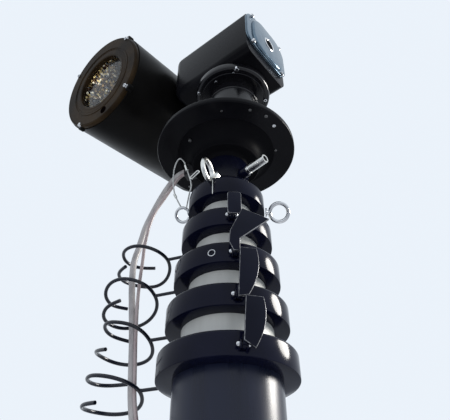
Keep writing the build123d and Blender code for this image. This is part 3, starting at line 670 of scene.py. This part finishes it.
# A dark plastic liner in the bore is painted shade for the inside of the hollow pin.
turned("lock_pin_shade_liner", "top_section", gland_moulding,
       [(0, 84.5), (5.7, 84.5), (5.7, 105), (5.2, 105), (5.2, 86), (0, 86)], 32, lock_place)
plunger_place = turn_z(-113) @ shift(0, 0, 2255.5)
pin_plate = bright_metal("pin_plate", (0.86, 0.86, 0.84), (0.66, 0.66, 0.62), (0.18, 0.34))
plunger = bmesh.new()
add_hexagon(plunger, 10.2, 16, plunger_place @ shift(53, 0, 0) @ across)
soften(plunger, 0.7)
outline = [(0, 60), (6.2, 60), (6.2, 62), (4, 63), (4, 66.5), (4.8, 67), (4.8, 71), (3.6, 72), (0, 72)]
add_lathe(plunger, outline, 32, plunger_place @ across)
add_ring(plunger, 21.4, 4.3, plunger_place @ shift(87.5, 0, -11))
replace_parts(piece(plunger, "spring_plunger", "top_section", pin_plate), "ring_pin")
tail = [(-21, -52, 2247), (-24, -66, 2244), (-25.5, -76, 2226), (-25, -76.5, 2190)]
smooth_line("plunger_tail", tail, 0.7, pin_plate, "top_section")


# A thin stranded steel rope rises from the left eye bolt and comes back down to it.
# Its five strands are laid round a core, two swaged sleeves close its loops,
# and a small link hangs beside the plunger's pull ring.
rope_wire = layered("rope_wire", (0.5, 0.5, 0.49), (0.72, 0.72, 0.7), (90.0, 4.0), (0.4, 0.55), Metallic=1.0,
                    fine=((1500.0, 2.0, 0.55, (1.0, 1.0, 2.2)), 0.00005))
strand_count = 5
strand_radius = 0.66
strand_offset = 0.00085
lay_length = 0.014
eye_frame = eyes["left"][0]
leave = Vector((-0.5, sqrt(0.5), 0.5))
rope_end = Vector((-9.9, 0, 9.9)) + leave * 3.3
rope_points = [
    eye_frame @ Vector((0, 0, 17.3)), Vector((-105, 14, 2261)), Vector((-109.5, 4, 2286)),
    Vector((-108.5, -8, 2320)), Vector((-98, -20, 2340)), Vector((-85, -29, 2320)), Vector((-75, -32, 2282)),
    Vector((-67, -30, 2252)), Vector((-71.5, -30, 2232)), eye_frame @ (rope_end + leave * 22),
    eye_frame @ rope_end,
]
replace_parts(smooth_line("rope_core", rope_points, 0.95, rope_wire, "section_5", 12), "lanyard")
path = [v.co.copy() for v in route_mesh(rope_points, 0, 24).vertices]
for strand in range(strand_count):
    travelled = 0.0
    before = path[0]
    twisted = []
    side = Vector((0, 1, 0))
    for k, here in enumerate(path):
        ahead = (path[min(k + 1, len(path) - 1)] - path[max(k - 1, 0)]).normalized()
        side = (side - ahead * side.dot(ahead)).normalized()
        travelled += (here - before).length
        before = here
        turn = travelled / lay_length * tau + strand * tau / strand_count
        twisted.append((here + (side * cos(turn) + ahead.cross(side) * sin(turn)) * strand_offset) * 1000)
    smooth_line(f"rope_strand_{strand + 1}", twisted, strand_radius, rope_wire, "section_5", 2)
sleeves = bmesh.new()
for middle, ahead, length, wide in (((-79.5, -31, 2298), (10, -3, -38), 17, 3.4),
                                    ((-104.5, 14.5, 2263), (-12, -8, 22), 10, 2.7)):
    add_lathe(sleeves, [(0, -length / 2), (wide - 0.5, -length / 2), (wide, -length / 2 + 0.6),
                        (wide, length / 2 - 0.6), (wide - 0.5, length / 2), (0, length / 2)], 24,
              shift(*middle) @ Vector(ahead).to_track_quat("Z", "Y").to_matrix().to_4x4())
piece(sleeves, "rope_sleeves", "section_5", pin_plate)
link = bmesh.new()
add_ring(link, 3.2, 1.4, Matrix.Identity(4), 40, 14)
for vert in link.verts:
    vert.co.x += 8 if vert.co.x > 0 else -8
link_way = Vector((17, -6, 17)).to_track_quat("X", "Z").to_matrix().to_4x4()
bmesh.ops.transform(link, matrix=shift(-61.5, -41, 2270.5) @ link_way, verts=link.verts)
piece(link, "ring_link", "section_5", pin_plate)


# The platform is a thick round plate with rounded rims, under the pan unit, powder coated satin black.
# Socket screws come up through it from below. All are dull metal but one, which is bright plate.
head_coat = black_coat("head_coat", (0.003, 0.003, 0.004), (0.007, 0.007, 0.009), (0.2, 0.3), 520.0, 0.1,
                       0.07)
dull_plate = bright_metal("dull_plate", (0.3, 0.3, 0.3), (0.12, 0.12, 0.12), (0.3, 0.5))
under = Matrix.Rotation(pi, 4, "X")
platform_top = 2378.0
platform_radius = 146.8
platform_rim = 3.2
outline = [(0, platform_low)]
outline += arc(platform_radius - platform_rim, platform_low + platform_rim, platform_rim, -90, 0, 5)
outline += arc(platform_radius - platform_rim, platform_top - platform_rim, platform_rim, 0, 90, 5)
outline += [(0, platform_top)]
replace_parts(turned("round_platform", "top_section", head_coat, outline, 192), "platform")


def deck_screw(azimuth, reach, size):
    """Screw under the platform. Under the neck's flare its head is taller, to reach out of the flange."""
    place = turn_z(azimuth) @ shift(reach, 0, platform_low + 0.3) @ under
    return size, 8.0 if reach < flare_reach else 2.2, place


screws("platform_screws", "top_section", dull_plate, [deck_screw(*row) for row in (
    (-93.5, 122.3, 2.2), (-68.9, 133, 2.8), (-53.4, 134.3, 3.4), (-146.3, 89, 3.2), (-7.6, 106.7, 2.8),
    (60, 130, 3.4), (95, 130, 3.4), (130, 130, 3.4))])
screws("platform_bright_screw", "top_section", bright_plate, [deck_screw(-40.3, 128, 3.8)])


# The pan unit is a turned pedestal with a flanged foot, a lip near its top and a rounded rim.
# On it a turntable turns, with a rolled outer band and an inner step on its underside.
pan_x = 18.0
pan_y = -4.0
pan_place = shift(pan_x, pan_y, 0)
pedestal_top = 2525.0
table_low = pedestal_top + 0.3
table_step = 24.0
pan_coat = black_coat("pan_coat", (0.003, 0.003, 0.004), (0.007, 0.007, 0.009), (0.12, 0.2), 520.0, 0.0, 0.4)
outline = [(0, platform_top), (70, platform_top), (71, platform_top + 1), (71, platform_top + 7),
           (70, platform_top + 8), (63, platform_top + 9)]
outline += arc(63, platform_top + 13, 4, -90, -180, 4)[1:]
outline += [(59, 2400), (57.6, 2401.4), (57.6, pedestal_top - 8)]
outline += arc(57.4, pedestal_top - 6.4, 1.6, -90, 0, 5) + arc(55, pedestal_top - 4, 4, 0, 90, 7)
outline += [(0, pedestal_top)]
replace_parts(turned("pan_pedestal", "top_section", pan_coat, outline, 144, pan_place),
            "pedestal")
screws("pedestal_screws", "top_section", bright_plate,
       [(3.4, 2.6, pan_place @ turn_z(60 * k + 20) @ shift(67, 0, platform_top + 8.2)) for k in range(6)])
band_low = table_low + table_step
outline = [(0, table_low), (50, table_low), (50, band_low), (52, band_low), (72, band_low),
           (73, band_low + 1), (76, band_low + 1), (77, band_low)]
outline += arc(80, band_low + 7, 7, -90, 0, 6) + arc(80, band_low + 15, 7, 0, 90, 6) + [(0, band_low + 22)]
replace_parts(turned("pan_turntable", "pan_head", pan_coat, outline, 176, pan_place), "turntable")
screws("turntable_screws", "pan_head", bright_plate,
       [(size, 7.4, pan_place @ turn_z(azimuth) @ shift(reach, 0, band_low + 4.7) @ under)
        for azimuth, reach, size in (
            (-84.5, 83.5, 4.8), (-90, 74.5, 2.2), (-128, 64.0, 3.0), (-168, 81.5, 4.2), (3, 77.0, 4.2),
            (75, 81.5, 4.8), (120, 81.5, 4.8), (40, 64.0, 3.0), (160, 64.0, 3.0))])


# The tilt housing is a rounded box casting across the head, in the same satin black.
# Its lamp end has large rounded corners, and its near face is smooth and bare.
yaw = -38.0
housing_height = 2647.0
housing_place = shift(pan_x, pan_y, housing_height) @ turn_z(yaw)
housing_left = -125.5
housing_right = 101.5


def ring_edges(bm, points):
    """Edges of a closed ring of points, made where they are missing."""
    pairs = [(points[k], points[k - 1]) for k in range(len(points))]
    return [bm.edges.get(pair) or bm.edges.new(pair) for pair in pairs]


def add_rounded_bar(bm, start, end, wide, high, corner, beside, rise, rim_start, rim_end, port=None):
    """Bar along X with a rounded section and rims, and if asked a blind round port in its far end."""
    ring = []
    for cy, cz, first in ((1, 1, 0), (-1, 1, 90), (-1, -1, 180), (1, -1, 270)):
        ring += arc(cy * (wide / 2 - corner), cz * (high / 2 - corner), corner, first, first + 90, 8)
    bends = [radians(bend) for bend in (0, 18, 36, 54, 72, 90)]
    stations = [(start + rim_start * (1 - cos(bend)), rim_start * (1 - sin(bend))) for bend in bends]
    stations += [(end - rim_end * (1 - cos(bend)), rim_end * (1 - sin(bend))) for bend in reversed(bends)]
    loops = []
    for x, inset in stations:
        slim = 1 - inset / (wide / 2)
        low = 1 - inset / (high / 2)
        loops.append([bm.verts.new((x, y * slim + beside, z * low + rise)) for y, z in ring])
    for x in (end, end - port[1]) if port else ():
        turns = [tau * (k + 0.5) / len(ring) for k in range(len(ring))]
        loops.append([bm.verts.new((x, port[0] * cos(t) + beside, port[0] * sin(t) + rise)) for t in turns])
    for a, b in zip(loops, loops[1:]):
        bmesh.ops.bridge_loops(bm, edges=ring_edges(bm, a) + ring_edges(bm, b))
    bm.faces.new(loops[0])
    bm.faces.new(loops[-1])


def housing_piece(name, finish, slot, *bars):
    """Piece of the tilt housing, made of rounded bars in the housing's frame."""
    shell = bmesh.new()
    for bar in bars:
        add_rounded_bar(shell, *bar)
    bmesh.ops.transform(shell, matrix=housing_place, verts=shell.verts)
    return piece(shell, name, "pan_head", finish, 28)


casting = (housing_left, housing_right, 152, 151.4, 22, -5, 0, 22, 0.8)
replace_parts(housing_piece("tilt_casting", head_coat, "head_paint", casting), "tilt_housing")


# The end cap is a polished aluminium cover with a flange, a thin dark seal groove and a raised face.
# Four socket screws hold it at the corners, and a plain round port with a rolled rim is in its middle.
# The cap's blue-grey colour is a painted reflection of blue sky on the polished metal.
cap_polish_painted_sky = bright_metal("cap_polish_painted_sky", (0.17, 0.23, 0.28), (0.11, 0.16, 0.21), (0.1, 0.2), 1200.0)
flange = housing_piece("cap_flange", cap_polish_painted_sky, "head_paint",
                       (housing_right, 104.2, 155, 122.9, 34, -5, 15.75, 0.4, 0.4),
                       (105.0, 107.5, 155, 122.9, 34, -5, 15.75, 0.6, 1.2))
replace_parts(flange, "housing_cap")
housing_piece("cap_seal", gland_moulding, "black_plastic",
              (104.0, 105.2, 152.5, 120.4, 33, -5, 15.75, 0.1, 0.1))
housing_piece("cap_face", cap_polish_painted_sky, "head_paint",
              (107.0, 113.5, 123.6, 113.6, 40, -2, 15, 0.2, 4.5, (14.6, 6)))
port_place = housing_place @ shift(113.0, -2, 15) @ across
turned("port_rim", "pan_head", bright_plate,
       [(14.5, 0), (14.5, 1.4), (15.1, 2.0), (18.4, 2.0), (19.2, 1.3), (19.2, 0)], 64, port_place)
# A black liner on the port's floor and walls is painted shade for the inside of the port.
turned("port_shade_liner", "pan_head", gland_moulding,
       [(0, -5.4), (14.4, -5.4), (14.4, 0.4), (13.9, 0.4), (13.6, -4.4), (0, -4.8)], 48, port_place)
screws("cap_screws", "pan_head", bright_plate,
       [(5.2, 6.2, housing_place @ shift(106.4, -5.1 + beside, 14.8 + rise) @ across)
        for beside, rise in ((-57.8, 52.7), (57.8, 52.7), (-57.8, -52.7), (57.8, -52.7))])


# The lamp is a deep drum of rolled aluminium, black outside, with a domed pressed rear cover.
# A shallow groove runs round it behind, where the cover is pressed into it.
lamp_axis_height = 2658.5
lamp_gap = 6.0
drum_radius = 129.5
tilt = radians(-8.5)
along = Vector((cos(radians(yaw)), sin(radians(yaw)), 0))
beam = Vector((sin(radians(yaw)) * cos(tilt), -cos(radians(yaw)) * cos(tilt), sin(tilt)))
lamp_centre = Vector((pan_x, pan_y, lamp_axis_height)) + along * (housing_left - lamp_gap - drum_radius)
lamp_place = shift(*lamp_centre) @ Matrix((along, beam.cross(along), beam)).transposed().to_4x4()
lamp_coat = black_coat("lamp_coat", (0.004, 0.0038, 0.0036), (0.008, 0.0075, 0.007), (0.28, 0.42), 480.0, 0.1,
                       0.05)
outline = [(125.5, -182), (129.4, -182), (129.4, -176), (129, -175.2), (129, -173.8), (129.4, -173),
           (129.4, 190.4), (128.8, 191), (125.5, 191)]
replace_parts(turned("lamp_drum", "lamp", lamp_coat, outline, 192, lamp_place), "lamp_body")
outline = [(0, -212), (106, -212), (112, -211.2), (120.5, -204.8), (126.6, -200), (128.8, -197.4),
           (129.4, -194), (129.4, -182), (125.5, -182), (125.5, -194), (110, -208), (0, -208)]
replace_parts(turned("lamp_rear_dome", "lamp", lamp_coat, outline, 160, lamp_place),
            "lamp_rear_cover")
refinish("tilt_spindle", head_coat)


# The front ring is a turned plate with a rounded rim, a fine bead and a raised lip round the glass.
# Four clamp screws stand on lugs at its rim, and a thin dark disc near its lowest point is painted shade for
# a drain hole.
ring_skin = anodised("ring_skin", (0.012, 0.0075, 0.004), (0.04, 0.025, 0.012), (0.2, 0.32), 0.04)
# Near-black matt finish for the disc that is painted shade in place of the drain hole.
drain_painted_shade = black_coat("drain_painted_shade", (0.002, 0.001, 0.001), (0.004, 0.002, 0.002), (0.7, 0.85), 520.0, 0.0,
                        0.0)
front = 201.0
outline = [(73, front - 12), (73, front - 1.6), (73.5, front - 0.5), (74.6, front), (80, front),
           (80.6, front - 0.5), (89.4, front - 0.5), (90, front - 0.9), (91.2, front - 0.9),
           (91.8, front - 0.3), (94.4, front), (94.9, front + 1.2), (96.9, front + 1.2), (97.4, front),
           (121.4, front), (121.8, front - 0.8), (122.6, front - 0.8), (123, front - 0.1)]
outline += arc(122, front - 5, 5, 84, 0, 7)
outline += [(127, front - 10), (86, front - 10), (86, front - 17), (82, front - 17), (82, front - 12)]
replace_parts(turned("lamp_front_ring", "lamp", ring_skin, outline, 224, lamp_place, 30),
            "lamp_bezel")
clamps = bmesh.new()
lugs = bmesh.new()
for angle, reach in ((41, 122.5), (137, 120), (-125, 122.5), (-42, 122.5)):
    place = lamp_place @ turn_z(angle) @ shift(reach, 0, front - 2.4)
    add_lathe(lugs, [(0, -13), (8.5, -13), (9.5, -12), (9.5, -1.2), (8.3, 0), (0, 0)], 40,
              place @ shift(2, 0, 0))
    add_lathe(clamps, [(0, 0), (5.8, 0), (5.8, 1.2), (5.2, 1.8), (0, 1.8)], 28, place)
    add_socket_screw(clamps, 4.7, 4.6, place @ shift(0, 0, 1.6))
piece(clamps, "ring_clamp_screws", "lamp", bright_plate)
piece(lugs, "ring_clamp_lugs", "lamp", lamp_coat)
# Thin dark disc laid on the ring: painted shade standing in for the drain hole.
turned("ring_drain_shade_disc", "lamp", drain_painted_shade,
       [(0, 0), (9.4, 0), (9.4, 0.4), (8.8, 0.6), (8.4, 0.25), (0, 0.25)], 48,
       lamp_place @ turn_z(-82) @ shift(108, 0, front - 0.2))


# Behind a clear toughened glass sits a bright bowl reflector, pressed into hundreds of small facets.
# A ceramic lamp holder and a clear capsule stand in its middle.
front_glass = layered("front_glass", (0.96, 0.98, 0.98), (1.0, 1.0, 1.0), (30.0, 4.0), (0.0, 0.03, 0.5, 0.75),
                      Transmission_Weight=1.0, IOR=1.2)
outline = [(0, front - 15), (81.4, front - 15), (82, front - 14.4), (82, front - 12.6), (81.4, front - 12),
           (0, front - 12)]
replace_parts(turned("front_pane", "lamp", front_glass, outline, 96, lamp_place), "lamp_glass")
# The facets' tints, from near black to white, are painted reflections of the surroundings.
facet_reflection_tints = ((0.0, (0.025, 0.015, 0.01)), (0.3, (0.46, 0.36, 0.16)), (0.4, (0.09, 0.055, 0.03)),
               (0.54, (0.7, 0.64, 0.5)), (0.61, (0.26, 0.17, 0.07)), (0.74, (0.16, 0.17, 0.18)),
               (0.82, (0.03, 0.018, 0.012)))
facet_lift = 1.2
bowl_rows = 16
bowl_mouth = 80.0
bowl_depth = 90.0


def facet_painted_reflections():
    """Pressed bright facets: each cell has its own tint of straw, white, grey or brown, a painted reflection
    of the surroundings.
    """
    finish, tree, shader, where = start_finish("facet_painted_reflections")
    cells = add_node(tree, "TexVoronoi", Vector=where, Scale=230.0)
    split = add_node(tree, "SeparateColor", Color=cells.outputs["Color"])
    ramp = add_node(tree, "ValToRGB", Fac=split.outputs["Red"])
    marks = ramp.color_ramp.elements
    ramp.color_ramp.interpolation = "CONSTANT"
    for k, (position, colour) in enumerate(facet_reflection_tints):
        mark = marks[k] if k < 2 else marks.new(position)
        mark.position = position
        mark.color = (*colour, 1)
    feed(tree, shader, Base_Color=ramp.outputs["Color"], Metallic=1.0,
         Roughness=spread(tree, split.outputs["Green"], 0.08, 0.3, 0.0, 1.0))
    relief(tree, shader, split.outputs["Blue"], 0.0006, 0.6)
    return finish


chance = random.Random(7)
outline = []
for k in range(bowl_rows + 1):
    radius = 14 + (bowl_mouth - 14) * k / bowl_rows
    outline.append((radius, front - 17 - bowl_depth * (1 - (radius / bowl_mouth) ** 2)))
back_wall = [(radius + 1.5, height - 0.8) for radius, height in reversed(outline)]
bowl = bmesh.new()
add_lathe(bowl, outline + back_wall, 60)
for vert in bowl.verts:
    if 15 < sqrt(vert.co.x ** 2 + vert.co.y ** 2) < bowl_mouth - 1:
        vert.co.z += chance.uniform(-facet_lift, facet_lift)
bmesh.ops.transform(bowl, matrix=lamp_place, verts=bowl.verts)
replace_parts(piece(bowl, "facet_reflector", "lamp", facet_painted_reflections(), 1), "lamp_reflector")
ceramic = layered("holder_ceramic", (0.62, 0.6, 0.55), (0.74, 0.73, 0.69), (120.0, 4.0), (0.3, 0.5),
                  fine=((120.0, 4.0), 0.0001))
outline = [(0, front - 122), (16, front - 122), (16, front - 104), (13, front - 102), (7, front - 100),
           (7, front - 92), (0, front - 92)]
turned("lamp_holder", "lamp", ceramic, outline, 40, lamp_place)
capsule_glass = layered("capsule_glass", (0.9, 0.9, 0.86), (1.0, 1.0, 0.97), (200.0, 3.0), (0.05, 0.2),
                        Transmission_Weight=0.8)
outline = [(0, front - 92), (5.6, front - 92), (6, front - 88), (6, front - 62)]
outline += arc(0, front - 62, 6, 0, 90, 6)
turned("lamp_capsule", "lamp", capsule_glass, outline, 28, lamp_place)


# The floor is one wide pale sheet under the plate. It isn't part of the tower.
# It is a plain matt round of board, so the tower's shadow shows on it.
def pale_board():
    """Matt pale board, slightly clouded."""
    finish, tree, shader, where = start_finish("pale_floor")
    cloud = grain(tree, where, 0.8, 3.0)
    colour = two_tone(tree, cloud, (0.74, 0.75, 0.76), (0.78, 0.79, 0.8))
    feed(tree, shader, Base_Color=colour, Roughness=0.85)
    return finish


floor_disc = bmesh.new()
bmesh.ops.create_circle(floor_disc, cap_ends=True, segments=96, radius=14.0)
floor_mesh = bpy.data.meshes.new("studio_floor")
floor_disc.to_mesh(floor_mesh)
floor_disc.free()
floor_mesh.materials.append(pale_board())
floor = linked("studio_floor", floor_mesh)


# The room is an even pale surround that the camera and every reflection see,
# while it lights the tower at a lower level.
room = bpy.data.worlds.new("pale_room")
bpy.context.scene.world = room
room.use_nodes = True
air = room.node_tree
air.nodes.clear()
rays = add_node(air, "LightPath").outputs
seen = rays["Is Camera Ray"]
for kind in ("Is Glossy Ray", "Is Transmission Ray"):
    either = air.nodes.new("ShaderNodeMath")
    either.operation = "MAXIMUM"
    air.links.new(seen, either.inputs[0])
    air.links.new(rays[kind], either.inputs[1])
    seen = either.outputs[0]
lit = add_node(air, "Background", Color=(0.80, 0.87, 1.0, 1), Strength=0.5)
backdrop = add_node(air, "Background", Color=(0.83, 0.89, 0.96, 1), Strength=1.0)
choice = add_node(air, "MixShader", Fac=seen)
air.links.new(lit.outputs["Background"], choice.inputs[1])
air.links.new(backdrop.outputs["Background"], choice.inputs[2])
add_node(air, "OutputWorld", Surface=choice.outputs["Shader"])
bpy.context.scene.view_settings.view_transform = "Standard"


# One large soft lamp stands to the right, high and a little behind, as the key.
# Two weaker ones fill the front, and neither shows in the gloss.
def soft_lamp(name, place, target, size, power, colour, mirrored):
    """Round soft lamp that looks at a target, in metres and watts."""
    data = bpy.data.lights.new(name, "AREA")
    data.shape = "DISK"
    data.size = size
    data.energy = power
    data.color = colour
    lamp = linked(name, data)
    lamp.location = place
    lamp.rotation_euler = (Vector(target) - Vector(place)).to_track_quat("-Z", "Y").to_euler()
    lamp.visible_glossy = mirrored


soft_lamp("key_lamp", (2.6, 0.35, 3.0), (0, 0, 2.25), 1.1, 105, (1.0, 0.97, 0.92), True)
soft_lamp("front_fill", (-1.6, -2.6, 1.9), (0, 0, 2.2), 1.6, 20, (0.95, 0.97, 1.0), False)
soft_lamp("floor_fill", (0.8, -1.8, 0.5), (0, 0, 2.3), 1.2, 6, (1.0, 0.98, 0.95), False)


# The camera stands below and in front, and looks up at the head as the photograph does.
# Its place and angles, in metres and radians, were fitted to the rings of the mast.
camera_data = bpy.data.cameras.new("photo_camera")
camera_data.sensor_width = 36.0
camera_data.lens = 39.965
camera = linked("photo_camera", camera_data)
camera_spot = (0, -0.7619, 1.5984)
heading = 0.0037
pitch = 0.6792
lean = -0.0066
forward = Vector((-sin(heading) * cos(pitch), cos(heading) * cos(pitch), sin(pitch)))
rightward = Vector((cos(heading), sin(heading), 0))
overhead = rightward.cross(forward)
right_leant = rightward * cos(lean) + overhead * sin(lean)
over_leant = overhead * cos(lean) - rightward * sin(lean)
camera.matrix_world = shift(*camera_spot) @ Matrix((right_leant, over_leant, -forward)).transposed().to_4x4()
bpy.context.scene.camera = camera
